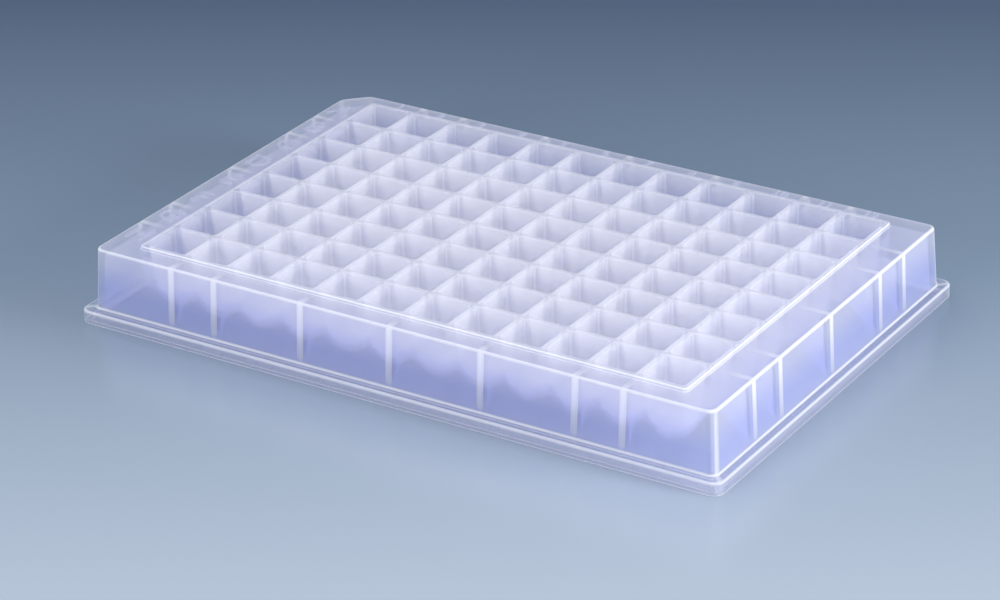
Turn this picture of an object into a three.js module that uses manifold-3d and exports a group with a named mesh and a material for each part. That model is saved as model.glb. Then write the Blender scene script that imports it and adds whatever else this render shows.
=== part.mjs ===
// A 96-well microplate, injection moulded in one piece from natural polypropylene.
// Millimetres, +Z up. The origin is the centre of the footprint, on the surface the plate stands on.
// Columns 1 to 12 run along +X and row A is the last row towards +Y, so well A1 is at -X, +Y.
//
// One mould makes it all: a block of square wells with round bottoms hangs in a thin deck, a drafted
// skirt carries the deck on a wider flange, and gusset ribs under the deck tie the block to the skirt.

import * as THREE from "three";
import { mergeVertices } from "three/addons/utils/BufferGeometryUtils.js";
import Module from "manifold-3d";

const wasm = await Module();
wasm.setup();

// The well grid, and where its first well sits from the edges of the footprint.
const COLUMNS = 12;
const ROWS = 8;
const WELL_PITCH = 9;
const FIRST_WELL_FROM_END = 14.38;
const FIRST_WELL_FROM_SIDE = 11.24;

// Heights above the surface it stands on.
const PLATE_HEIGHT = 14.35;
const FLANGE_HEIGHT = 2.41;
const WELL_FOOT_HEIGHT = 2.35; // lowest point of the well bottoms, outside
const WEB_UNDERSIDE_HEIGHT = 6.6; // where the walls between the wells end and single cups begin

// Walls.
const WELL_WALL = 1.1; // between two wells, at their mouths
const WELL_BOTTOM_THICKNESS = 0.9;
const BLOCK_MARGIN = 0.5; // the block's outer wall beyond the last wells' cells
const RIM_STEP = 0.65; // how far the well block stands above the deck
const DECK_THICKNESS = 1.2;
const SKIRT_THICKNESS = 1.2;
const FLANGE_THICKNESS = 1.3;

// Well form.
const WELL_MOUTH_CORNER = 0.8;
const WELL_DRAFT = 1.9; // degrees on each wall
const BOWL_CORNER = 1.7; // corner radius where the walls meet the bowl
const BOWL_DEPTH = 3.4;
const BOWL_FLAT = 0.9; // half the width of the small flat at the bottom
const CUP_GAP = 0.3; // between two neighbouring cups, below the web
const CUP_CORNER = 2.2;

// Skirt and flange outline.
const END_LEDGE = 1.78; // flange beyond the skirt's foot, at the short ends
const SIDE_LEDGE = 2.04; // the same along the long sides
const SKIRT_DRAFT = 3; // degrees
const SKIRT_CORNER = 1.5;
const A1_CHAMFER = 4.1;
const FLANGE_CORNER = 2;
const BLOCK_CORNER = 1;
const DECK_EDGE = 0.3; // bevel where the skirt meets the deck

// Gusset ribs, on the lines of the walls between wells, counted from the middle of the plate.
const LONG_SIDE_RIBS = [-5, -4, -2, 0, 2, 4, 5];
const SHORT_END_RIBS = [-3, -2, 0, 2, 3];
const RIB_THICKNESS = 1;
const RIB_ROOT_DEPTH = 5.7; // below the deck's top, at the well block
const RIB_FOOT_GAP = 0.3; // between the rib's foot and the ledge

// Facets.
const CORNER_POINTS = 2; // on each corner of a well's section
const BOWL_RINGS = 2; // steps from the rim of a bowl to its flat
const OUTLINE_ARC_STEPS = 4; // on each corner of the skirt and flange

const OVERRUN = 1; // how far a cutter runs past the face it opens
const SEAT = 0.3; // how far a rib or cup is sunk into what carries it

const halfLength = ((COLUMNS - 1) * WELL_PITCH) / 2 + FIRST_WELL_FROM_END;
const halfWidth = ((ROWS - 1) * WELL_PITCH) / 2 + FIRST_WELL_FROM_SIDE;
const deckHeight = PLATE_HEIGHT - RIM_STEP;
const skirtLean = (deckHeight - FLANGE_HEIGHT) * Math.tan(THREE.MathUtils.degToRad(SKIRT_DRAFT));
const flangeHalf = new THREE.Vector2(halfLength, halfWidth);
const skirtFoot = new THREE.Vector2(halfLength - END_LEDGE, halfWidth - SIDE_LEDGE);
const skirtTop = skirtFoot.clone().subScalar(skirtLean);
const blockHalf = new THREE.Vector2(
  (COLUMNS * WELL_PITCH) / 2 + BLOCK_MARGIN,
  (ROWS * WELL_PITCH) / 2 + BLOCK_MARGIN,
);

// --- Solids -----------------------------------------------------------------------------------

// A closed geometry as a solid that can be cut and joined.
function solidOf(geometry) {
  const bare = geometry.clone();
  bare.deleteAttribute("normal");
  bare.deleteAttribute("uv");
  const merged = mergeVertices(bare, 1e-5);
  return new wasm.Manifold(
    new wasm.Mesh({
      numProp: 3,
      vertProperties: merged.attributes.position.array,
      triVerts: new Uint32Array(merged.index.array),
    }),
  );
}

function geometryOf(solid) {
  const mesh = solid.getMesh();
  const geometry = new THREE.BufferGeometry();
  geometry.setAttribute("position", new THREE.BufferAttribute(mesh.vertProperties, 3));
  geometry.setIndex(new THREE.BufferAttribute(mesh.triVerts, 1));
  return geometry;
}

function join(solids) {
  return solids.reduce((whole, piece) => whole.add(piece));
}

// A closed geometry through level outlines, lowest first: each is { z, points }, with the same
// number of points, counter-clockwise seen from above.
function loft(sections) {
  const count = sections[0].points.length;
  const positions = sections.flatMap(({ z, points }) => points.flatMap((p) => [p.x, p.y, z]));
  const index = [];
  for (let level = 0; level < sections.length - 1; level++) {
    for (let i = 0; i < count; i++) {
      const low = level * count + i;
      const lowNext = level * count + ((i + 1) % count);
      index.push(low, lowNext, lowNext + count, low, lowNext + count, low + count);
    }
  }
  const top = (sections.length - 1) * count;
  for (const [a, b, c] of THREE.ShapeUtils.triangulateShape(sections[0].points, [])) {
    index.push(a, c, b);
  }
  for (const [a, b, c] of THREE.ShapeUtils.triangulateShape(sections.at(-1).points, [])) {
    index.push(top + a, top + b, top + c);
  }
  const geometry = new THREE.BufferGeometry();
  geometry.setAttribute("position", new THREE.Float32BufferAttribute(positions, 3));
  geometry.setIndex(index);
  return geometry;
}

// --- Outlines ---------------------------------------------------------------------------------

// A rectangle with round corners. With a chamfer, its -X, +Y corner is cut off at 45 degrees.
function plateOutline(half, radius, chamfer = 0) {
  const outline = new THREE.Shape();
  const [x, y] = [half.x - radius, half.y - radius];
  outline.absarc(x, y, radius, 0, Math.PI / 2);
  if (chamfer) {
    outline.lineTo(-half.x + chamfer, half.y);
    outline.lineTo(-half.x, half.y - chamfer);
  } else {
    outline.absarc(-x, y, radius, Math.PI / 2, Math.PI);
  }
  outline.absarc(-x, -y, radius, Math.PI, 1.5 * Math.PI);
  outline.absarc(x, -y, radius, 1.5 * Math.PI, 2 * Math.PI);
  return outline.getPoints(OUTLINE_ARC_STEPS / 2);
}

// The same outline moved in by a wall's thickness, all round.
function insetOutline(half, radius, chamfer, wall) {
  const inner = half.clone().subScalar(wall);
  const innerRadius = Math.max(radius - wall, 0.3);
  return plateOutline(inner, innerRadius, chamfer && chamfer - wall * (2 - Math.SQRT2));
}

// A square well's section: half its width, and the radius of its corners. At radius = half it is
// round. Its flats lie on the true width.
function wellSection(half, radius) {
  const step = Math.PI / 2 / CORNER_POINTS;
  const reach = radius / Math.cos(step / 2);
  const points = [];
  for (const [turn, sx, sy] of [[0, 1, 1], [1, -1, 1], [2, -1, -1], [3, 1, -1]]) {
    for (let i = 0; i < CORNER_POINTS; i++) {
      const angle = (turn * Math.PI) / 2 + (i + 0.5) * step;
      const x = sx * (half - radius) + reach * Math.cos(angle);
      const y = sy * (half - radius) + reach * Math.sin(angle);
      points.push(new THREE.Vector2(x, y));
    }
  }
  return points;
}

// --- Parts of the moulding ---------------------------------------------------------------------

// The bottom of a well, lowest section first: a bowl that is round below its rim, where it takes
// the well's square section with the given corner radius.
function bowl(rimHeight, footHeight, half, corner) {
  const sections = [{ z: footHeight, points: wellSection(BOWL_FLAT, BOWL_FLAT) }];
  for (let ring = 1; ring < BOWL_RINGS; ring++) {
    const angle = (Math.PI / 2) * (1 - ring / BOWL_RINGS);
    const across = half * Math.cos(angle);
    const z = rimHeight - (rimHeight - footHeight) * Math.sin(angle);
    sections.push({ z, points: wellSection(across, across) });
  }
  sections.push({ z: rimHeight, points: wellSection(half, corner) });
  return sections;
}

// What the core pin of one well leaves open: a drafted square with round corners over a bowl.
function wellCavity() {
  const floor = WELL_FOOT_HEIGHT + WELL_BOTTOM_THICKNESS;
  const bowlRim = floor + BOWL_DEPTH;
  const mouthHalf = (WELL_PITCH - WELL_WALL) / 2;
  const lean = Math.tan(THREE.MathUtils.degToRad(WELL_DRAFT));
  const mouth = wellSection(mouthHalf, WELL_MOUTH_CORNER);
  return loft([
    ...bowl(bowlRim, floor, mouthHalf - (PLATE_HEIGHT - bowlRim) * lean, BOWL_CORNER),
    { z: PLATE_HEIGHT, points: mouth },
    { z: PLATE_HEIGHT + OVERRUN, points: mouth },
  ]);
}

// The single cup that shows below the web, its top sunk into the block.
function wellCup() {
  const half = (WELL_PITCH - CUP_GAP) / 2;
  const sections = bowl(WEB_UNDERSIDE_HEIGHT, WELL_FOOT_HEIGHT, half, CUP_CORNER);
  return loft([...sections, { z: WEB_UNDERSIDE_HEIGHT + SEAT, points: sections.at(-1).points }]);
}

// One geometry repeated at every well of the grid, joined.
function atEveryWell(geometry) {
  const copies = [];
  for (let column = 0; column < COLUMNS; column++) {
    for (let row = 0; row < ROWS; row++) {
      const x = (column - (COLUMNS - 1) / 2) * WELL_PITCH;
      const y = ((ROWS - 1) / 2 - row) * WELL_PITCH;
      copies.push(solidOf(geometry.clone().translate(x, y, 0)));
    }
  }
  return join(copies);
}

function wellBlock() {
  const outline = plateOutline(blockHalf, BLOCK_CORNER);
  return loft([
    { z: WEB_UNDERSIDE_HEIGHT, points: outline },
    { z: PLATE_HEIGHT, points: outline },
  ]);
}

// Skirt with its deck: a drafted shell, open below, with one corner cut off to mark well A1.
function skirtOutside() {
  const outline = (half) => plateOutline(half, SKIRT_CORNER, A1_CHAMFER);
  const foot = outline(skirtFoot);
  return loft([
    { z: 0, points: foot },
    { z: FLANGE_HEIGHT, points: foot },
    { z: deckHeight - DECK_EDGE, points: outline(skirtTop) },
    { z: deckHeight, points: insetOutline(skirtTop, SKIRT_CORNER, A1_CHAMFER, DECK_EDGE) },
  ]);
}

function skirtHollow() {
  const outline = (half) => insetOutline(half, SKIRT_CORNER, A1_CHAMFER, SKIRT_THICKNESS);
  const foot = outline(skirtFoot);
  return loft([
    { z: -OVERRUN, points: foot },
    { z: FLANGE_HEIGHT, points: foot },
    { z: deckHeight - DECK_THICKNESS, points: outline(skirtTop) },
  ]);
}

// The flange steps out at the skirt's foot. Its hollow steps out with it, so that the deck of the
// plate below seats there when plates are stacked.
function flangeOutside() {
  const outline = plateOutline(flangeHalf, FLANGE_CORNER);
  return loft([
    { z: 0, points: outline },
    { z: FLANGE_HEIGHT, points: outline },
  ]);
}

function flangeHollow() {
  const outline = insetOutline(flangeHalf, FLANGE_CORNER, 0, FLANGE_THICKNESS);
  return loft([
    { z: -OVERRUN, points: outline },
    { z: FLANGE_HEIGHT - FLANGE_THICKNESS, points: outline },
  ]);
}

// One gusset that stands on the line of a well wall and reaches out along +X: the deck is above
// it, the block at its left and the skirt at its right, and its free edge slopes from the block
// down to the skirt's foot.
function gusset(blockFace, skirtFaceTop, skirtFaceFoot) {
  const underDeck = deckHeight - DECK_THICKNESS + SEAT;
  const root = deckHeight - RIB_ROOT_DEPTH;
  const foot = FLANGE_HEIGHT + RIB_FOOT_GAP;
  const outline = new THREE.Shape([
    new THREE.Vector2(blockFace - SEAT, underDeck),
    new THREE.Vector2(blockFace - SEAT, root),
    new THREE.Vector2(blockFace, root),
    new THREE.Vector2(skirtFaceFoot, foot),
    new THREE.Vector2(skirtFaceFoot + SEAT, foot),
    new THREE.Vector2(skirtFaceTop + SEAT, underDeck),
  ]);
  const rib = new THREE.ExtrudeGeometry(outline, { depth: RIB_THICKNESS, bevelEnabled: false });
  return rib.translate(0, 0, -RIB_THICKNESS / 2).rotateX(Math.PI / 2);
}

// Copies of a gusset along one side of the plate and along the side opposite.
function gussetsOnTwoSides(rib, lines, turn) {
  const copies = [];
  for (const line of lines) {
    for (const side of [turn, turn + Math.PI]) {
      const offset = line * WELL_PITCH * (side < Math.PI ? 1 : -1);
      copies.push(solidOf(rib.clone().translate(0, offset, 0).rotateZ(side)));
    }
  }
  return join(copies);
}

function ribs() {
  const [top, foot] = [skirtTop, skirtFoot].map((face) => face.clone().subScalar(SKIRT_THICKNESS));
  const endRib = gusset(blockHalf.x, top.x, foot.x);
  const sideRib = gusset(blockHalf.y, top.y, foot.y);
  const onEnds = gussetsOnTwoSides(endRib, SHORT_END_RIBS, 0);
  const onSides = gussetsOnTwoSides(sideRib, LONG_SIDE_RIBS, Math.PI / 2);
  return onEnds.add(onSides);
}

function wellPlate() {
  const shell = solidOf(skirtOutside())
    .add(solidOf(flangeOutside()))
    .subtract(solidOf(skirtHollow()))
    .subtract(solidOf(flangeHollow()));
  const block = solidOf(wellBlock()).add(atEveryWell(wellCup()));
  return shell.add(block).add(ribs()).subtract(atEveryWell(wellCavity()));
}

// --- Scene graph -------------------------------------------------------------------------------

const polypropylene = new THREE.MeshStandardMaterial({
  color: 0xccd0e8,
  roughness: 0.35,
  metalness: 0,
  transparent: true,
  opacity: 0.85,
});

const plate = new THREE.Mesh(geometryOf(wellPlate()), polypropylene);
plate.name = "well_plate";

const microplate = new THREE.Group();
microplate.add(plate);

export default microplate;
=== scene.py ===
"""A 96-well microplate of natural polypropylene on a pale table.

Metres throughout, in the part's own frame: +Z up, the footprint centred on the origin, columns 1 to
12 along +X, row A at the +Y side. The plate is one moulding, so everything rides on the root.
"""

import math

import bmesh
import bpy
from bpy.props import (
    FloatProperty,
    FloatVectorProperty,
    IntProperty,
    PointerProperty,
)
from bpy.types import Operator, Panel, PropertyGroup
from mathutils import Matrix, Vector


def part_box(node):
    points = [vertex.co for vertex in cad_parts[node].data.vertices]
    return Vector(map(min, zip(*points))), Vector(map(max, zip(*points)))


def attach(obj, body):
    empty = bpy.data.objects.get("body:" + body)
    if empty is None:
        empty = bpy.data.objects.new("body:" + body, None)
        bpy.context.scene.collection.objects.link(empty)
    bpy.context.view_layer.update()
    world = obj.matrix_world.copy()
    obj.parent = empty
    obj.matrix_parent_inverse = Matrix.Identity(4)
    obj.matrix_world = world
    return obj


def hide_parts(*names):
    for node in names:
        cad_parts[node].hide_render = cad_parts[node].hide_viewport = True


bl_info = {
    "name": "Microplate",
    "version": (1, 0, 0),
    "blender": (4, 5, 0),
    "location": "View3D > Sidebar > Microplate",
    "description": "Builds a 96-well microplate of natural polypropylene, its lettering and its studio",
    "category": "Add Mesh",
}

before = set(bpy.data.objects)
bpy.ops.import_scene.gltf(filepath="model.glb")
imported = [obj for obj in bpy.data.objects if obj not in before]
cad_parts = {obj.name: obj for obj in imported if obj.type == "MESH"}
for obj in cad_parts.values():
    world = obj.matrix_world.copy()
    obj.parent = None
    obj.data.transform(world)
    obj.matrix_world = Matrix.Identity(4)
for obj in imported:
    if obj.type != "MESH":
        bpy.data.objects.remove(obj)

NODE = "well_plate"
MM = 0.001
LOW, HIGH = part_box(NODE)


def linear(code):
    """A colour given as sRGB hex, as the linear values that Blender's sockets take."""
    parts = [int(code[i : i + 2], 16) / 255 for i in (1, 3, 5)]
    return [p / 12.92 if p <= 0.04045 else ((p + 0.055) / 1.055) ** 2.4 for p in parts]


def length(name, description, default):
    """A size in metres for a PropertyGroup."""
    return FloatProperty(
        name=name,
        description=description,
        default=default,
        min=0,
        precision=5,
        subtype="DISTANCE",
        unit="LENGTH",
    )


def colour(name, description, code):
    """A colour for a PropertyGroup, given as sRGB hex."""
    return FloatVectorProperty(
        name=name, description=description, default=linear(code), subtype="COLOR", min=0, max=1
    )


# --- Sizes and colours that a user would change --------------------------------------------------


class WellSizes(PropertyGroup):
    """The grid of wells and the form of one well"""

    columns: IntProperty(name="Columns", description="Wells along the plate", default=12, min=1)
    rows: IntProperty(name="Rows", description="Wells across the plate", default=8, min=1)
    pitch: length("Pitch", "Distance between the centres of neighbouring wells", 9 * MM)
    wall: length("Wall", "Wall between two wells, at their mouths", 1.1 * MM)
    lip: length("Lip", "Rounding round a well's mouth", 0.2 * MM)
    mouth_corner: length("Mouth corner", "Corner radius of a well at its mouth", 0.8 * MM)
    draft: FloatProperty(
        name="Draft",
        description="Lean of each well wall",
        default=math.radians(1.9),
        subtype="ANGLE",
        unit="ROTATION",
    )
    foot: length("Foot height", "Lowest point of the well bottoms above the table", 2.35 * MM)
    bottom: length("Bottom thickness", "Thickness of a well's bottom", 0.9 * MM)
    bowl: length("Bowl depth", "From the end of the straight walls to the bottom", 3.4 * MM)
    bowl_corner: length("Bowl corner", "Corner radius where the walls meet the bowl", 1.7 * MM)
    cup_gap: length("Cup gap", "Gap between neighbouring cups under the web", 0.3 * MM)
    cup_corner: length("Cup corner", "Corner radius of a cup at the web", 2.2 * MM)
    web: length("Web height", "Height at which the shared walls end and single cups begin", 6.6 * MM)


class ShellSizes(PropertyGroup):
    """Deck, skirt, flange and gusset ribs"""

    block_margin: length("Block margin", "Block's outer wall beyond the last cells", 0.5 * MM)
    block_corner: length("Block corner", "Corner radius of the well block", 1 * MM)
    rim_step: length("Rim step", "Height of the well block above the deck", 0.65 * MM)
    deck: length("Deck thickness", "Thickness of the deck", 1.2 * MM)
    skirt: length("Skirt thickness", "Thickness of the skirt", 1.2 * MM)
    skirt_lean: length("Skirt lean", "How far the skirt leans in from foot to deck", 0.592 * MM)
    skirt_corner: length("Skirt corner", "Corner radius of the skirt", 1.5 * MM)
    chamfer: length("Corner cut", "Corner cut off the deck and skirt beside well A1", 4.1 * MM)
    end_ledge: length("End ledge", "Flange beyond the skirt's foot at the short ends", 1.78 * MM)
    side_ledge: length("Side ledge", "Flange beyond the skirt's foot at the sides", 2.04 * MM)
    flange: length("Flange thickness", "Thickness of the flange", 1.3 * MM)
    flange_height: length("Flange height", "Top of the flange above the table", 2.41 * MM)
    flange_corner: length("Flange corner", "Corner radius of the flange", 2 * MM)
    rib: length("Rib thickness", "Thickness of the gusset ribs under the deck", 1 * MM)
    rib_root: length("Rib root", "Rib's lower end at the block, below the deck's top", 5.7 * MM)
    rib_foot: length("Rib foot", "Gap between a rib's foot and the ledge", 0.3 * MM)


class LetteringSizes(PropertyGroup):
    """Raised row letters and column numbers on the deck"""

    letter: length("Letter height", "Height of the row letters", 4.6 * MM)
    number: length("Number height", "Height of the column numbers", 2.2 * MM)
    raised: length("Raised", "How far the lettering stands above the deck", 0.14 * MM)


class Finish(PropertyGroup):
    """Colours of the plastic, and the painted shade low on its skirt"""

    resin: colour("Resin", "Light that the milky resin scatters, near the deck and at edges", "#F6F5FA")
    # The resin's violet cast with painted shade, used low on the skirt
    violet_with_painted_shade: colour("Deep resin", "The same low on the skirt, after many walls", "#C6CBFB")
    clear: colour("Clear", "Tint of what is seen straight through a wall", "#FEFEFF")
    through: FloatProperty(
        name="Through",
        description="Share of the scattered light that goes on through the wall",
        default=0.5,
        min=0,
        max=1,
        subtype="FACTOR",
    )
    edge_haze: FloatProperty(
        name="Edge haze",
        description="The same share along the edges of the moulding, which gather light",
        default=0.65,
        min=0,
        max=1,
        subtype="FACTOR",
    )
    haze: FloatProperty(
        name="Haze",
        description="Share of light that the milky resin scatters inside its walls",
        default=0.17,
        min=0,
        max=1,
        subtype="FACTOR",
    )


class Studio(PropertyGroup):
    """Table, light and camera"""

    # Colours of the table's painted pool of light, from its middle out
    near: colour("Table near", "Table in the pool of light", "#A0ABB8")
    middle: colour("Table middle", "Table half way out of the light", "#728496")
    far: colour("Table far", "Table and backdrop beyond the light", "#425167")
    pool: FloatVectorProperty(
        name="Pool of light",
        description="Where the table's fall from light to dark begins and ends, along its azimuth",
        default=(-0.097, 0.146),
        size=2,
        subtype="XYZ",
        unit="LENGTH",
    )
    fall: FloatProperty(
        name="Fall",
        description="Azimuth towards which the table darkens",
        default=math.radians(28.5),
        subtype="ANGLE",
        unit="ROTATION",
    )
    lens: FloatProperty(
        name="Lens",
        description="Focal length of the camera",
        default=129.72,
        unit="CAMERA",
    )
    position: FloatVectorProperty(
        name="Camera position",
        description="Where the camera stands",
        default=(0.30348, -0.48086, 0.27980),
        subtype="TRANSLATION",
        unit="LENGTH",
    )
    heading: FloatVectorProperty(
        name="Camera heading",
        description="Azimuth, elevation and roll of the camera",
        default=[math.radians(a) for a in (32.566, 26.075, 1.303)],
        subtype="EULER",
        unit="ROTATION",
    )
    room_colour: colour("Room colour", "Colour of the room's light overhead", "#F3F6FF")
    horizon: colour("Horizon", "Colour of the room at the horizon", "#62758E")
    room: FloatProperty(name="Room", description="Strength of the room's light", default=0.89, min=0)
    overhead: FloatProperty(
        name="Overhead", description="Overhead soft box", default=3.5, min=0, unit="POWER"
    )
    front: FloatProperty(
        name="Front", description="Soft box in front, for fill", default=6.4, min=0, unit="POWER"
    )
    right: FloatProperty(
        name="Right", description="Soft box at the right", default=12.5, min=0, unit="POWER"
    )


# --- Mesh tools ----------------------------------------------------------------------------------

TINY = 0.02 * MM
MERGED = 0.01 * MM  # vertices closer than this are one
RING = 32  # vertices round a well
SIDE = RING // 4
STATION = "station"  # which vertex of its ring a vertex is, kept through extrusions
PAINTED_GLOW = "edge"  # painted highlight: how much whiter and milkier a vertex is painted, at edges where light led through the walls comes out

# Where vertices stand along half a side of a cell, from its middle
BETWEEN = 0.42  # of the half side, between its middle and a rib
# Where they stand beside a rib, from the rib's middle
HALF_RIB = 0.5  # of the rib's thickness
PAST_RIB = 0.75  # the same, where the light led out by a rib has faded

# Round edges, drawn with one vertex in the middle of their arc
BEND = 0.29  # of a quarter arc's radius: how far its middle stands off the planes of its two sides
CHORD_TO_CORNER = 0.414  # where a quarter arc's middle lies, from its chord's middle to its corner
OBTUSE_BEND = 0.199  # of the tangent's length: how far an arc's middle stands off a 135 degree corner
HOLD = 0.2 * MM  # from a round edge to the row of vertices that keeps the flat beside it flat
UNDER_LIP = 0.25 * MM  # from a well's lip down to the row where its corners begin to shine
MOST_HELD = 0.47  # of a flat: the furthest from its corner that the row stands
SMALLEST_RADIUS = 0.3 * MM

# Edge values of the painted highlight, from 0 for a plain wall to 1 for an edge painted white as if it
# shone
WELL_HAZE = 0.34  # well walls, which other walls stand behind
SKIRT_HAZE = 0.28
DECK_HAZE = 0.18
BLOCK_HAZE = 0.12  # outer wall of the block, under the deck
COLUMN_TOP_HIGHLIGHT = 0.6  # painted highlight: tops of the walls between two columns, painted brighter than those between rows, where the light from the right catches them
COLUMN_LIP_HIGHLIGHT = 0.45  # the same painted highlight, on the rounded lip
WELL_CORNER_HIGHLIGHT = 0.6  # upright corners of a well, painted as vertical highlight lines
CORNER_HIGHLIGHT_SPREAD = (1, 0.4, 0, 0, 0, 0, 0, 0.4)  # share of it that each vertex of one side has
# Painted glow: the well bottoms and the cups' low rings are painted whiter, for light led down the walls
# that shows the cups as bright crescents
BOWL_RIM = 0.45
BOWL_GLOW_RINGS = (0.8, 1, 1, 1, 1)  # round the bowl, from its rim down
CUP_RIM = 0.2
CUP_CRESCENT_GLOW = (0.2, 0.2, 0.4, 1, 0.8)  # round the cup, from the web down
WEB = 0.3  # where the shell meets the cells, under the web
ARC_END = 0.7  # ends of a rounded edge, as a share of its middle
# Painted glow of the ribs, seen as white lines through the deck and skirt
RIB_GLOW_BESIDE = 0.85  # beside a rib's middle line, as a share of that line
RIB_GLOW_ON_DECK = 0.7  # over a rib, on the deck
RIB_GLOW_AT_FOOT = 0.3  # the same, at the least, on the skirt
CUT_UPRIGHT_HIGHLIGHTS = (0.2, 0.8, 0.2, 0, 0.2, 0.8, 0.2)  # steps of the corner cut: a painted highlight at both its ends
CORNER_UPRIGHT_HIGHLIGHTS = (0, 0, 0, 0.25, 0.75, 0.5, 0)  # steps of a round corner: a painted highlight line down it
INNER_UPRIGHT_HIGHLIGHTS = 0.4  # share of these below the ledge


def station_of(bm):
    """The layer that holds each vertex's station."""
    return bm.verts.layers.int[STATION]


def new_mesh():
    """An empty bmesh with the two values that each vertex carries."""
    bm = bmesh.new()
    bm.verts.layers.int.new(STATION)
    bm.verts.layers.float.new(PAINTED_GLOW)
    return bm


def extruded(bm, edges):
    """The edges of a new ring extruded from edges, and its vertices."""
    made = bmesh.ops.extrude_edge_only(bm, edges=edges)["geom"]
    verts = {g for g in made if isinstance(g, bmesh.types.BMVert)}
    new = [g for g in made if isinstance(g, bmesh.types.BMEdge) and verts.issuperset(g.verts)]
    return new, verts


def loft(bm, edges, sections):
    """Extrudes a closed ring through sections: each gives a station's point and its edge value."""
    station, edge = station_of(bm), bm.verts.layers.float[PAINTED_GLOW]
    for point, glow in sections:
        edges, verts = extruded(bm, edges)
        for v in verts:
            v.co = point(v[station])
            v[edge] = glow(v[station])
    return edges


def closed_with_pole(bm, edges, height):
    """Closes a small ring with a fan round a middle vertex at a height."""
    made = bmesh.ops.edgeloop_fill(bm, edges=edges)["faces"]
    pole = bmesh.ops.poke(bm, faces=made)["verts"][0]
    pole.co.z = height


# --- One well ------------------------------------------------------------------------------------


def cell_point(wells, rib, k):
    """A point on the square of one well's cell: close to each corner, where a rib's side can fall."""
    side, j = divmod(k, SIDE)
    half = wells.pitch / 2
    near = half - rib * HALF_RIB
    past = half - rib * PAST_RIB
    between = BETWEEN * half
    along = (half, near, past, between, 0, -between, -past, -near)[j]
    return Matrix.Rotation(math.radians(90 * side), 2) @ Vector((along, half))


def section_point(half, corner, roundness, k):
    """A point on a square with round corners, drawn towards a circle by roundness."""
    side, j = divmod(k, SIDE)
    flat = half - corner
    turn = math.radians((45, 67.5, 90, 90, 90, 90, 90, 112.5)[j])
    along = (flat, flat, flat, 0.5 * flat, 0, -0.5 * flat, -flat, -flat)[j]
    square = Vector((along + corner * math.cos(turn), flat + corner * math.sin(turn)))
    angle = math.radians(45 + 90 / SIDE * j)
    circle = Vector((half * math.cos(angle), half * math.sin(angle)))
    return Matrix.Rotation(math.radians(90 * side), 2) @ square.lerp(circle, roundness)


def section(half, corner, height, roundness=0.0, all_round=0.0, corner_highlight=0.0, column_highlight=0.0):
    """A level section of a well, as its points and their edge values.

    The edge values are given all round, and as painted highlights at the corners and on the two sides
    along a column.
    """

    def point(k):
        return (*section_point(half, corner, roundness, k), height)

    def glow(k):
        side, j = divmod(k, SIDE)
        return max(all_round, corner_highlight * CORNER_HIGHLIGHT_SPREAD[j], column_highlight if side % 2 and j else 0)

    return point, glow


def dome(half, corner, rim, foot, glows):
    """Sections of a bowl below its rim, from a round-cornered square to a round bottom.

    There is one for each edge value in glows, from the rim down.
    """
    made = []
    for ring, glow in enumerate(glows, start=1):
        share = ring / (len(glows) + 1)
        turn = math.pi / 2 * share
        height = rim - (rim - foot) * math.sin(turn)
        across, round_off = half * math.cos(turn), corner * math.cos(turn)
        made.append(section(across, round_off, height, min(1.0, 2 * share), all_round=glow))
    return made


def start_ring(bm, point, glow, column_highlight=0.0):
    """A ring of the cell's points, with each vertex's station and edge value written in."""
    station, edge = station_of(bm), bm.verts.layers.float[PAINTED_GLOW]
    verts = bmesh.ops.create_circle(bm, segments=RING, radius=1)["verts"]
    for v in verts:
        angle = math.degrees(math.atan2(v.co.y, v.co.x))
        v[station] = round((angle - 45) * RING / 360) % RING
        side, j = divmod(v[station], SIDE)
        v[edge] = max(glow, column_highlight if side % 2 and j else 0)
        v.co = point(v[station])
    return list({e for v in verts for e in v.link_edges})


def well_cell(bm, wells, rib):
    """One well in its cell: the inside from the wall tops down, and the cup that shows below."""
    top = HIGH.z
    mouth = wells.pitch / 2 - wells.wall / 2
    floor = wells.foot + wells.bottom
    rim = floor + wells.bowl
    lean = math.tan(wells.draft)
    half = mouth - (top - rim) * lean
    lip, corner = wells.lip, wells.mouth_corner
    bend, below = BEND * lip, lip + UNDER_LIP
    edges = start_ring(
        bm, lambda k: (*cell_point(wells, rib, k), top), WELL_HAZE, column_highlight=COLUMN_TOP_HIGHLIGHT
    )
    edges = loft(
        bm,
        edges,
        [
            section(mouth + lip, corner + lip, top, all_round=WELL_HAZE, column_highlight=COLUMN_LIP_HIGHLIGHT),
            section(mouth + bend, corner + bend, top - bend, all_round=WELL_HAZE),
            section(mouth, corner, top - lip, all_round=WELL_HAZE),
            section(
                mouth - below * lean,
                corner,
                top - below,
                all_round=WELL_HAZE,
                corner_highlight=WELL_CORNER_HIGHLIGHT,
            ),
            section(half, wells.bowl_corner, rim, all_round=BOWL_RIM, corner_highlight=WELL_CORNER_HIGHLIGHT),
            *dome(half, wells.bowl_corner, rim, floor, BOWL_GLOW_RINGS),
        ],
    )
    closed_with_pole(bm, edges, floor)

    cup = wells.pitch / 2 - wells.cup_gap / 2
    edges = start_ring(bm, lambda k: (*cell_point(wells, rib, k), wells.web), CUP_RIM)
    edges = loft(
        bm,
        edges,
        [
            section(cup, wells.cup_corner, wells.web, all_round=CUP_RIM),
            *dome(cup, wells.cup_corner, wells.web, wells.foot, CUP_CRESCENT_GLOW),
        ],
    )
    closed_with_pole(bm, edges, wells.foot)


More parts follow.
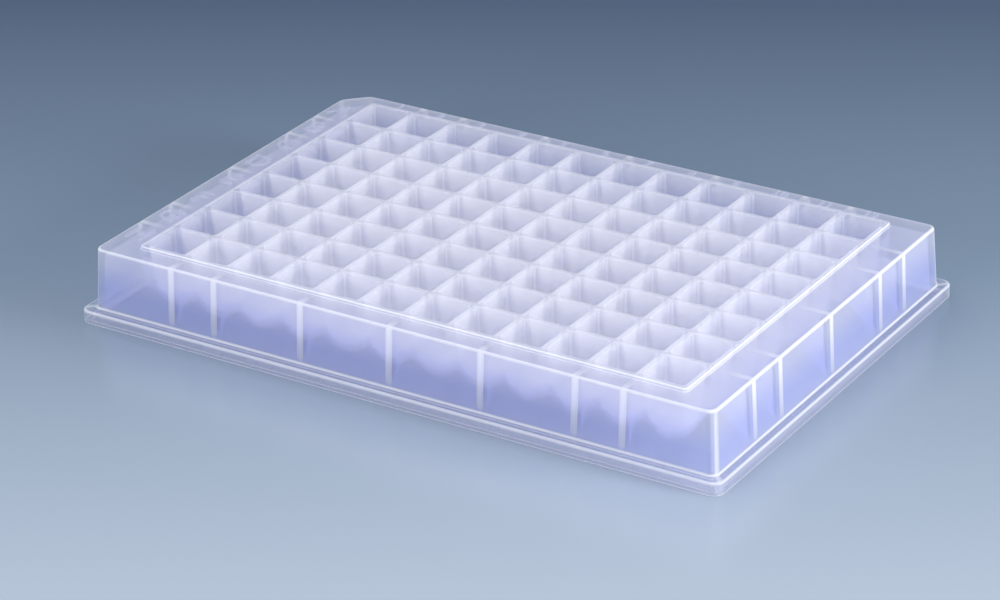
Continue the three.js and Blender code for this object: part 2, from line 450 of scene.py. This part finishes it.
def well_block(bm, wells, rib):
    """The grid of wells, joined into one sheet above and one below."""
    well_cell(bm, wells, rib)
    cell = bm.verts[:] + bm.edges[:] + bm.faces[:]
    for column in range(wells.columns):
        for row in range(wells.rows):
            x = (column - (wells.columns - 1) / 2) * wells.pitch
            y = (row - (wells.rows - 1) / 2) * wells.pitch
            copied = bmesh.ops.duplicate(bm, geom=cell)["geom"]
            verts = [g for g in copied if isinstance(g, bmesh.types.BMVert)]
            bmesh.ops.translate(bm, verts=verts, vec=(x, y, 0))
    bmesh.ops.delete(bm, geom=[g for g in cell if isinstance(g, bmesh.types.BMVert)], context="VERTS")
    bmesh.ops.remove_doubles(bm, verts=bm.verts, dist=MERGED)


# --- Deck, skirt and flange round the block ------------------------------------------------------


def corner_point(half, radius, cut, i):
    """Point i of 1 to 7 round the +X, +Y corner of an outline: round, or cut off at 45 degrees."""
    if not cut:
        angle = math.radians(90 - 15 * (i - 1))
        return Vector(
            (
                half.x - radius + radius * math.cos(angle),
                half.y - radius + radius * math.sin(angle),
            )
        )
    soft = min(0.8 * MM, 0.3 * cut)  # from either end of the cut to where its round edge begins
    ends = [Vector((half.x - cut, half.y)), Vector((half.x, half.y - cut))]
    slope = (ends[1] - ends[0]).normalized()
    bisectors = [math.radians(a) for a in (67.5, 22.5)]
    bend = [Vector((math.cos(a), math.sin(a))) * OBTUSE_BEND * soft for a in bisectors]
    return (
        ends[0] - Vector((soft, 0)),
        ends[0] - bend[0],
        ends[0] + slope * soft,
        (ends[0] + ends[1]) / 2,
        ends[1] - slope * soft,
        ends[1] - bend[1],
        ends[1] - Vector((0, soft)),
    )[i - 1]


def half_grid(wells):
    """Half the length and width of the grid of cells."""
    return Vector((wells.columns, wells.rows)) * wells.pitch / 2


class Outline:
    """One level outline of the shell: half its length and width, its corner radius and corner cut."""

    def __init__(self, half, radius, cut=0.0):
        self.half, self.radius, self.cut = half, radius, cut

    def inset(self, wall):
        """The outline of the inside of a wall, which is as thick along a corner cut as elsewhere."""
        cut = max(0.0, self.cut - wall * (2 - math.sqrt(2))) if self.cut else 0.0
        radius = max(self.radius - wall, SMALLEST_RADIUS)
        return Outline(self.half - Vector((wall, wall)), radius, cut)

    def at(self, place):
        """Where a place of the grid's boundary lies on this outline."""
        x, y = place.sign
        if place.axis == 0:
            return Vector((place.along, y * self.half.y))
        if place.axis == 1:
            return Vector((x * self.half.x, place.along))
        cut = self.cut if place.is_cut else 0
        found = corner_point(self.half, self.radius, cut, place.step)
        return Vector((x * found.x, y * found.y))


class Place:
    """Where a vertex of the grid's boundary belongs on an outline.

    It is on the side across one axis, at a distance along that side, or at step 1 to 7 of a corner.
    """

    def __init__(self, start, cells, wells, rib):
        self.start = start
        straight = cells - Vector((wells.pitch, wells.pitch)) / 2
        self.sign = math.copysign(1, start.x), math.copysign(1, start.y)
        self.is_cut = self.sign == (-1, 1)
        self.axis, self.along, self.step, self.rib = None, 0.0, 0, 0.0
        if abs(start.x) < straight.x + TINY:
            self.axis, self.along = 0, start.x
        elif abs(start.y) < straight.y + TINY:
            self.axis, self.along = 1, start.y
        else:
            past = (abs(start.x) - straight.x + cells.y - abs(start.y)) / (wells.pitch / 2)
            near, past_rib = (1 - rib * share / (wells.pitch / 2) for share in (HALF_RIB, PAST_RIB))
            steps = (BETWEEN, past_rib, near, 1, 2 - near, 2 - past_rib, 2 - BETWEEN)
            self.step = min(range(7), key=lambda i: abs(steps[i] - past)) + 1
        if self.axis is not None:
            off = min(abs(self.along - line) for line in rib_lines(wells)[self.axis])
            self.rib = 1.0 if off < TINY else RIB_GLOW_BESIDE if off < rib * HALF_RIB + TINY else 0.0

    def upright(self):
        """The edge value of the shell's upright edge here, its painted highlight, if this is a step of a
        corner.
        """
        if not self.step:
            return 0.0
        return (CUT_UPRIGHT_HIGHLIGHTS if self.is_cut else CORNER_UPRIGHT_HIGHLIGHTS)[self.step - 1]


def blended(a, b, t):
    """The outline at share t of the way from a to b."""
    half = a.half.lerp(b.half, t)
    return Outline(half, a.radius + (b.radius - a.radius) * t, a.cut + (b.cut - a.cut) * t)


def softened(profile):
    """The profile's corners rounded off, with a plain row on each side to hold the flats.

    Each row of the profile is an outline, a height, a radius and the edge value of its corner. Each
    made one is an outline, a height and an edge value.
    """
    made = []
    for i, (outline, height, radius, glow) in enumerate(profile):
        if not radius:
            made.append((outline, height, 0.0))
            continue
        ends, holds = [], []
        for other, level, *_ in (profile[i - 1], profile[i + 1]):
            reach = math.hypot(level - height, (other.half - outline.half).x)
            hold = min(radius + HOLD, MOST_HELD * reach)
            for rows, distance in (ends, radius), (holds, hold):
                share = distance / reach
                rows.append((blended(outline, other, share), height + (level - height) * share))
        level = (ends[0][1] + ends[1][1]) / 2
        middle = blended(blended(ends[0][0], ends[1][0], 0.5), outline, CHORD_TO_CORNER)
        made += [
            (*holds[0], 0.0),
            (*ends[0], ARC_END * glow),
            (middle, level + (height - level) * CHORD_TO_CORNER, glow),
            (*ends[1], ARC_END * glow),
            (*holds[1], 0.0),
        ]
    return made


RIB_FOOT_ROW, RIB_ROOT_ROW = 10, 13  # rows of the profile where a rib's lower edge begins and ends


def shell_profile(wells, shell):
    """The shell's section, from the rim of the block over deck, skirt and flange to its underside.

    Each row is an outline, a height, the radius of its corner and the corner's edge value, which paints
    a highlight along that rounded edge.
    """
    cells = half_grid(wells)
    block = Outline(cells + Vector((1, 1)) * shell.block_margin, shell.block_corner)
    plate = Vector((HIGH.x, HIGH.y))
    ledge = Vector((shell.end_ledge, shell.side_ledge))
    foot = Outline(plate - ledge, shell.skirt_corner, shell.chamfer)
    lean = Vector((1, 1)) * shell.skirt_lean
    crest = Outline(foot.half - lean, shell.skirt_corner, shell.chamfer)
    flange = Outline(plate, shell.flange_corner)
    deck = HIGH.z - shell.rim_step
    roof = shell.flange_height - shell.flange
    hollow = foot.inset(shell.skirt)
    rib_foot = shell.flange_height + shell.rib_foot
    rib_root = deck - shell.rib_root
    under = deck - shell.deck
    rise = (rib_foot - shell.flange_height) / (deck - shell.flange_height)
    inside = crest.inset(shell.skirt)
    return [
        (Outline(cells, 0), HIGH.z, 0, 0),
        (block, HIGH.z, 0.2 * MM, 1),
        (block, deck, 0.15 * MM, 0.6),
        (crest, deck, 0.35 * MM, 1),
        (foot, shell.flange_height, 0.2 * MM, 0.9),
        (flange, shell.flange_height, 0.3 * MM, 0.8),
        (flange, LOW.z, 0.15 * MM, 0.9),
        (flange.inset(shell.flange), LOW.z, 0.1 * MM, 0.5),
        (flange.inset(shell.flange), roof, 0.1 * MM, 0.3),
        (hollow, roof, 0.15 * MM, 0.5),
        (blended(hollow, inside, rise), rib_foot, 0, 0),
        (inside, under, 0.3 * MM, 0.4),
        (block, under, 0.2 * MM, 0.3),
        (block, rib_root, 0, 0),
        (block, wells.web, 0.2 * MM, 0.25),
        (Outline(cells, 0), wells.web, 0, 0),
    ]


def shell_round_block(bm, wells, shell):
    """Sweeps the shell's profile round the grid of wells, from its upper edge to its lower one."""
    cells = half_grid(wells)
    station = station_of(bm)
    rims = [e for e in bm.edges if e.is_boundary]
    upper = [e for e in rims if e.verts[0].co.z > wells.web + MM]
    places = []
    for v in {v for e in upper for v in e.verts}:
        v[station] = len(places)
        places.append(Place(v.co.xy, cells, wells, shell.rib))

    deck = HIGH.z - shell.rim_step
    under = deck - shell.deck
    ledge = shell.flange_height
    rib_foot = ledge + shell.rib_foot
    near = 0.1 * MM  # what is closer than this to the deck or the ledge belongs to it

    def ring(outline, height, edge):
        """A ring of the shell: its points, and the strongest of the edge values that meet there."""
        on_shell = outline.half.x > cells.x + 2 * MM
        outside = outline.half.x > HIGH.x - shell.end_ledge - shell.skirt
        haze = SKIRT_HAZE if height > ledge + near else 0.0
        if height > deck - near:
            haze = DECK_HAZE
        if not on_shell and height < under + TINY:
            haze = BLOCK_HAZE
        # A rib is painted through the skirt as a white line, wide at the deck and thin at its foot:
        # painted glow for the light the rib leads out.
        drop = min(1.0, max(0.0, (height - rib_foot) / (under - rib_foot)))
        least = RIB_GLOW_AT_FOOT if height > ledge + near else 0.0
        through = (RIB_GLOW_ON_DECK if height > deck - TINY else max(least, drop)) if outside else 0.0
        corners = 0.0
        if on_shell and height < deck - TINY:
            corners = 1.0 if height > ledge - TINY else INNER_UPRIGHT_HIGHLIGHTS

        def point(k):
            return (*outline.at(places[k]), height)

        def glow(k):
            rib_glow = places[k].rib ** (4 - 3 * drop) * through
            return max(edge, haze, places[k].upright() * corners, rib_glow)

        return point, glow

    rows = softened(shell_profile(wells, shell))[1:-1]
    edges = loft(bm, upper, [ring(*row) for row in rows])
    loft(bm, edges, [(lambda k: (*places[k].start, wells.web), lambda k: WEB)])
    bmesh.ops.remove_doubles(bm, verts=bm.verts, dist=MERGED)


def rib_lines(wells):
    """Where the ribs stand, on the lines of the well walls: on the long sides and on the short ends."""
    across = [n * wells.pitch for n in (-5, -4, -2, 0, 2, 4, 5)]
    along = [n * wells.pitch for n in (-3, -2, 0, 2, 3)]
    return across, along


def gusset_ribs(bm, wells, shell):
    """Opens the channel's wall over each rib and closes it again round the rib."""
    lines = rib_lines(wells)
    cells = half_grid(wells)
    block = cells + Vector((1, 1)) * shell.block_margin
    deck = HIGH.z - shell.rim_step
    rows = shell_profile(wells, shell)
    foot, root = rows[RIB_FOOT_ROW], rows[RIB_ROOT_ROW]
    for axis in (0, 1):
        other = 1 - axis
        face_block = block[other] - TINY
        doomed = []
        for f in bm.faces:
            c = f.calc_center_median()
            if abs(c[other]) < face_block or c.z > deck - 0.5 * shell.deck:
                continue
            if not any(abs(c[axis] - line) < shell.rib / 2 for line in lines[axis]):
                continue
            low = min(v.co.z for v in f.verts)
            outer = abs(c[other]) > (foot[0].half[other] + block[other]) / 2
            inside = max(abs(v.co[other]) for v in f.verts) < foot[0].half[other] + TINY
            if inside and low > (foot[1] if outer else root[1]) - TINY:
                doomed.append(f)
        bmesh.ops.delete(bm, geom=doomed, context="FACES")
        open_edges = [e for e in bm.edges if e.is_boundary]
        for line in lines[axis]:
            for sign in (-1, 1):
                ends = [
                    e
                    for e in open_edges
                    if abs((e.verts[0].co - e.verts[1].co)[axis]) > TINY
                    and abs((e.verts[0].co[axis] + e.verts[1].co[axis]) / 2 - line) < shell.rib / 2
                    and e.verts[0].co[other] * sign > 0
                ]
                bmesh.ops.bridge_loops(bm, edges=ends)
    bmesh.ops.holes_fill(bm, edges=[e for e in bm.edges if e.is_boundary], sides=0)


def finished(bm, name, material):
    """Turns a bmesh into a finished piece that rides on the root, smooth between its sharp edges."""
    bmesh.ops.recalc_face_normals(bm, faces=bm.faces)
    mesh = bpy.data.meshes.new(name)
    bm.to_mesh(mesh)
    bm.free()
    mesh.attributes.remove(mesh.attributes[STATION])
    mesh.shade_smooth()
    mesh.set_sharp_from_angle(angle=math.radians(50))
    mesh.materials.append(material)
    piece = bpy.data.objects.new(name, mesh)
    bpy.context.scene.collection.objects.link(piece)
    weighted = piece.modifiers.new("even shading", "WEIGHTED_NORMAL")
    weighted.keep_sharp = True
    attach(piece, "root")
    return piece


# --- Materials -----------------------------------------------------------------------------------


def new_material(name):
    """A new material, and its node tree with nothing in it."""
    material = bpy.data.materials.new(name)
    material.use_nodes = True
    material.node_tree.nodes.clear()
    return material, material.node_tree


def add_node(tree, kind, settings=None, **inputs):
    """Adds a node. Settings are its own properties, inputs its sockets: a value, or a socket to link."""
    node = tree.nodes.new(kind)
    for key, value in (settings or {}).items():
        setattr(node, key, value)
    for key, value in inputs.items():
        socket = node.inputs[key.replace("_", " ")]
        if isinstance(value, bpy.types.NodeSocket):
            tree.links.new(value, socket)
        else:
            socket.default_value = value
    return node


def grey(value):
    """A colour stop that carries one number."""
    return (value, value, value, 1.0)


def polypropylene(finish):
    """Natural polypropylene, injection moulded in a satin mould.

    The resin is milky because light scatters at its crystals, so one thin wall is a clear veil and a
    stack of walls turns almost white. Its skin has the mould's soft satin gloss.
    """
    found = bpy.data.materials.get("natural moulded polypropylene")
    if found:
        return found
    material, tree = new_material("natural moulded polypropylene")
    place = add_node(tree, "ShaderNodeTexCoord").outputs["Object"]
    # Crystal clouds in the resin, about 6 mm across, shift its roughness by a few hundredths.
    clouds = add_node(tree, "ShaderNodeTexNoise", Vector=place, Scale=160.0, Detail=3.0)
    rough = add_node(
        tree,
        "ShaderNodeMapRange",
        Value=clouds.outputs["Fac"],
        To_Min=0.26,
        To_Max=0.38,
    )
    # The satin grain is about 0.05 mm in the mould. It is drawn 0.5 mm wide so that it shows.
    grain = add_node(tree, "ShaderNodeTexNoise", Vector=place, Scale=2000.0, Detail=2.0)
    bump = add_node(
        tree,
        "ShaderNodeBump",
        Height=grain.outputs["Fac"],
        Strength=0.08,
        Distance=0.05 * MM,
    )
    # Painted shade: the colour is ramped by height, violet and darker low on the skirt above the flange
    # and whiter towards the deck. It stands in for the shadowed channel under the deck, seen through the
    # skirt, together with the resin's own violet cast. The flange stays nearly white.
    height = add_node(tree, "ShaderNodeSeparateXYZ", Vector=place).outputs["Z"]
    rise = add_node(tree, "ShaderNodeMapRange", Value=height, From_Min=2 * MM, From_Max=14 * MM)
    depth = add_node(tree, "ShaderNodeValToRGB", Fac=rise.outputs["Result"])
    bottom, top = depth.color_ramp.elements
    bottom.color, top.color = grey(0.7), grey(0.75)
    for level, share in (0.05, 0.0), (0.35, 0.0), (0.75, 0.6):
        depth.color_ramp.elements.new(level).color = grey(share)
    # Painted highlight: where the edge value is high, at edges, over a rib and in the wells, the colour
    # is painted white at any height. It stands for light led along inside the walls that comes out
    # there, and for highlights.
    edge = add_node(tree, "ShaderNodeAttribute", {"attribute_name": PAINTED_GLOW}).outputs["Fac"]
    painted_highlight = add_node(tree, "ShaderNodeMapRange", Value=edge, From_Min=SKIRT_HAZE, From_Max=WELL_HAZE)
    white = add_node(tree, "ShaderNodeMath", {"operation": "MAXIMUM"})
    tree.links.new(depth.outputs["Color"], white.inputs[0])
    tree.links.new(painted_highlight.outputs["Result"], white.inputs[1])
    shades = add_node(tree, "ShaderNodeValToRGB", Fac=white.outputs[0])
    low, high = shades.color_ramp.elements
    # Low: the violet resin with painted shade. High: the white resin.
    low.color, high.color = (*finish.violet_with_painted_shade, 1.0), (*finish.resin, 1.0)
    # The milk scatters light back and onwards. Where the edge value is high, less goes onwards, so the
    # painted highlight shines more.
    body = add_node(
        tree,
        "ShaderNodeBsdfPrincipled",
        Base_Color=shades.outputs["Color"],
        Roughness=rough.outputs["Result"],
        IOR=1.49,
        Normal=bump.outputs["Normal"],
    )
    body.inputs["Specular IOR Level"].default_value = 0.0
    glow = add_node(tree, "ShaderNodeBsdfTranslucent", Color=shades.outputs["Color"])
    through = add_node(
        tree,
        "ShaderNodeMapRange",
        Value=edge,
        From_Min=WELL_HAZE,
        To_Min=finish.through,
        To_Max=0.2,
    )
    milk = add_node(tree, "ShaderNodeMixShader", Fac=through.outputs["Result"])
    tree.links.new(body.outputs[0], milk.inputs[1])
    tree.links.new(glow.outputs[0], milk.inputs[2])
    # What the milk leaves passes straight through, because the walls are too thin to bend it.
    clear = add_node(tree, "ShaderNodeBsdfTransparent", Color=(*finish.clear, 1.0))
    # A high edge value paints the wall milkier: part of the painted highlight.
    milky = add_node(
        tree, "ShaderNodeMapRange", Value=edge, To_Min=finish.haze, To_Max=finish.edge_haze
    )
    wall = add_node(tree, "ShaderNodeMixShader", Fac=milky.outputs["Result"])
    tree.links.new(clear.outputs[0], wall.inputs[1])
    tree.links.new(milk.outputs[0], wall.inputs[2])
    # The satin skin mirrors softly, and more at a flat angle.
    shine = add_node(
        tree,
        "ShaderNodeBsdfGlossy",
        Color=(1.0, 1.0, 1.0, 1.0),
        Roughness=rough.outputs["Result"],
        Normal=bump.outputs["Normal"],
    )
    facing = add_node(tree, "ShaderNodeLayerWeight", Blend=0.5)
    steep = add_node(tree, "ShaderNodeMath", {"operation": "POWER"})
    tree.links.new(facing.outputs["Facing"], steep.inputs[0])
    steep.inputs[1].default_value = 4.0
    mirror = add_node(tree, "ShaderNodeMapRange", Value=steep.outputs[0], To_Min=0.04, To_Max=0.7)
    skin = add_node(tree, "ShaderNodeMixShader", Fac=mirror.outputs["Result"])
    tree.links.new(wall.outputs[0], skin.inputs[1])
    tree.links.new(shine.outputs[0], skin.inputs[2])
    output = add_node(tree, "ShaderNodeOutputMaterial")
    tree.links.new(skin.outputs[0], output.inputs["Surface"])
    return material


def table_top(studio):
    """A satin laminate table with a painted pool of light.

    The painted pool lies in front of the plate, and the table's colour darkens in a straight fall beyond
    it.
    """
    material, tree = new_material("satin laminate table")
    place = add_node(tree, "ShaderNodeTexCoord").outputs["Object"]
    turned = add_node(
        tree,
        "ShaderNodeMapping",
        {"vector_type": "TEXTURE"},
        Vector=place,
        Rotation=(0, 0, studio.fall),
    )
    away = add_node(tree, "ShaderNodeSeparateXYZ", Vector=turned.outputs["Vector"])
    fall = add_node(
        tree,
        "ShaderNodeMapRange",
        Value=away.outputs["Y"],
        From_Min=studio.pool[0],
        From_Max=studio.pool[1],
    )
    # Painted pool of light: the colour falls from near to far along the azimuth.
    ramp = add_node(tree, "ShaderNodeValToRGB", Fac=fall.outputs["Result"])
    near, far = ramp.color_ramp.elements
    near.color, far.color = (*studio.near, 1.0), (*studio.far, 1.0)
    ramp.color_ramp.elements.new(0.46).color = (*studio.middle, 1.0)
    skin = add_node(
        tree,
        "ShaderNodeBsdfPrincipled",
        Base_Color=ramp.outputs["Color"],
        Roughness=0.22,
    )
    skin.inputs["Specular IOR Level"].default_value = 1.0
    output = add_node(tree, "ShaderNodeOutputMaterial")
    tree.links.new(skin.outputs["BSDF"], output.inputs["Surface"])
    return material


# --- Operators -----------------------------------------------------------------------------------


class MICROPLATE_OT_moulding(Operator):
    """Builds the moulded plate: wells, deck, skirt, flange and ribs in one closed shell"""

    bl_idname = "microplate.moulding"
    bl_label = "Moulding"

    def execute(self, context):
        wells, shell = context.scene.microplate_wells, context.scene.microplate_shell
        bm = new_mesh()
        well_block(bm, wells, shell.rib)
        shell_round_block(bm, wells, shell)
        gusset_ribs(bm, wells, shell)
        open_edges = sum(not e.is_manifold for e in bm.edges)
        if open_edges:
            raise RuntimeError(f"the moulding has {open_edges} edges that aren't closed")
        piece = finished(bm, "plate", polypropylene(context.scene.microplate_finish))
        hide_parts(NODE)
        return {"FINISHED"}


FONT_SIZE = 1.38  # of the height of a capital
LETTERS_OUT = 4.2 * MM  # from the last cells out to the middle of the row letters
NUMBERS_OUT = 2.4 * MM  # the same for the column numbers


def raised_text(bm, body, height, at, raised):
    """Adds one word of raised text, its middle at a point of the deck."""
    curve = bpy.data.curves.new("lettering", "FONT")
    curve.body = body
    curve.size = height * FONT_SIZE
    curve.align_x, curve.align_y = "CENTER", "CENTER"
    curve.extrude = raised
    holder = bpy.data.objects.new("lettering", curve)
    bpy.context.scene.collection.objects.link(holder)
    mesh = bpy.data.meshes.new_from_object(holder)
    bpy.data.objects.remove(holder)
    mesh.transform(Matrix.Translation(at))
    bm.from_mesh(mesh)
    bpy.data.meshes.remove(mesh)


class MICROPLATE_OT_lettering(Operator):
    """Adds the raised row letters and column numbers to the deck"""

    bl_idname = "microplate.lettering"
    bl_label = "Lettering"

    def execute(self, context):
        scene = context.scene
        wells, text = scene.microplate_wells, scene.microplate_lettering
        deck = HIGH.z - scene.microplate_shell.rim_step
        material = polypropylene(scene.microplate_finish)
        bm = new_mesh()
        x = -(wells.columns * wells.pitch / 2 + LETTERS_OUT)
        for row in range(wells.rows):
            y = ((wells.rows - 1) / 2 - row) * wells.pitch
            raised_text(bm, chr(ord("A") + row), text.letter, (x, y, deck), text.raised)
        finished(bm, "row_letters", material)
        bm = new_mesh()
        y = wells.rows * wells.pitch / 2 + NUMBERS_OUT
        for column in range(wells.columns):
            x = (column - (wells.columns - 1) / 2) * wells.pitch
            raised_text(bm, str(column + 1), text.number, (x, y, deck), text.raised)
        finished(bm, "column_numbers", material)
        return {"FINISHED"}


class MICROPLATE_OT_studio(Operator):
    """Sets up the table, the soft light and the camera"""

    bl_idname = "microplate.studio"
    bl_label = "Studio"

    def execute(self, context):
        scene, studio = context.scene, context.scene.microplate_studio
        bm = bmesh.new()
        bmesh.ops.create_circle(bm, cap_ends=True, segments=64, radius=3)
        mesh = bpy.data.meshes.new("table")
        bm.to_mesh(mesh)
        bm.free()
        mesh.materials.append(table_top(studio))
        table = bpy.data.objects.new("table", mesh)
        table.location.z = LOW.z - TINY
        scene.collection.objects.link(table)

        world = bpy.data.worlds.new("soft room")
        world.use_nodes = True
        tree = world.node_tree
        tree.nodes.clear()
        # The room is bright overhead and dim at the horizon, so satin surfaces seen flat stay deep.
        sky = add_node(tree, "ShaderNodeTexCoord").outputs["Generated"]
        rise = add_node(tree, "ShaderNodeSeparateXYZ", Vector=sky).outputs["Z"]
        lift = add_node(tree, "ShaderNodeMapRange", Value=rise, From_Min=0.35, From_Max=0.85)
        dome = add_node(tree, "ShaderNodeValToRGB", Fac=lift.outputs["Result"])
        horizon, zenith = dome.color_ramp.elements
        horizon.color, zenith.color = (*studio.horizon, 1.0), (*studio.room_colour, 1.0)
        room = add_node(
            tree, "ShaderNodeBackground", Color=dome.outputs["Color"], Strength=studio.room
        )
        output = add_node(tree, "ShaderNodeOutputWorld")
        tree.links.new(room.outputs[0], output.inputs["Surface"])
        scene.world = world

        # The low boxes light the plate from its sides. They don't mirror, because the satin table would
        # show them as white patches.
        for name, place, size, power, mirrors in (
            ("overhead soft box", (-0.45, 0, 0.8), 0.8, studio.overhead, True),
            ("right soft box", (0.85, 0.15, 0.2), 0.36, studio.right, False),
            ("front soft box", (-0.1, -0.9, 0.22), 0.4, studio.front, False),
        ):
            lamp = bpy.data.lights.new(name, "AREA")
            lamp.size = size
            lamp.energy = power
            box = bpy.data.objects.new(name, lamp)
            box.location = place
            box.rotation_euler = (-Vector(place)).to_track_quat("-Z", "Y").to_euler()
            box.visible_glossy = mirrors
            scene.collection.objects.link(box)

        camera = bpy.data.cameras.new("camera")
        camera.lens = studio.lens
        camera.clip_start, camera.clip_end = 0.01, 20
        holder = bpy.data.objects.new("camera", camera)
        azimuth, elevation, roll = studio.heading
        holder.matrix_world = (
            Matrix.Translation(studio.position)
            @ Matrix.Rotation(azimuth, 4, "Z")
            @ Matrix.Rotation(math.pi / 2 - elevation, 4, "X")
            @ Matrix.Rotation(-roll, 4, "Z")
        )
        scene.collection.objects.link(holder)
        scene.camera = holder
        scene.view_settings.view_transform = "Standard"
        scene.cycles.max_bounces = 24
        scene.cycles.diffuse_bounces = 12
        scene.cycles.glossy_bounces = 8
        scene.cycles.transparent_max_bounces = 64
        return {"FINISHED"}


class MICROPLATE_PT_sidebar(Panel):
    """Lists the steps that build the plate and its studio"""

    bl_idname = "MICROPLATE_PT_sidebar"
    bl_label = "Microplate"
    bl_space_type = "VIEW_3D"
    bl_region_type = "UI"
    bl_category = "Microplate"

    def draw(self, context):
        for step in STEPS:
            self.layout.operator(step.bl_idname)


STEPS = (MICROPLATE_OT_moulding, MICROPLATE_OT_lettering, MICROPLATE_OT_studio)
SETTINGS = {
    "microplate_wells": WellSizes,
    "microplate_shell": ShellSizes,
    "microplate_lettering": LetteringSizes,
    "microplate_finish": Finish,
    "microplate_studio": Studio,
}


def register():
    for cls in (*SETTINGS.values(), *STEPS, MICROPLATE_PT_sidebar):
        bpy.utils.register_class(cls)
    for name, group in SETTINGS.items():
        setattr(bpy.types.Scene, name, PointerProperty(type=group))


def unregister():
    for name in SETTINGS:
        delattr(bpy.types.Scene, name)
    for cls in (MICROPLATE_PT_sidebar, *STEPS, *SETTINGS.values()):
        bpy.utils.unregister_class(cls)


def main():
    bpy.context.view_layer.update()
    register()
    bpy.ops.microplate.moulding()
    bpy.ops.microplate.lettering()
    bpy.ops.microplate.studio()
    bpy.context.view_layer.update()


if __name__ == "__main__":
    main()
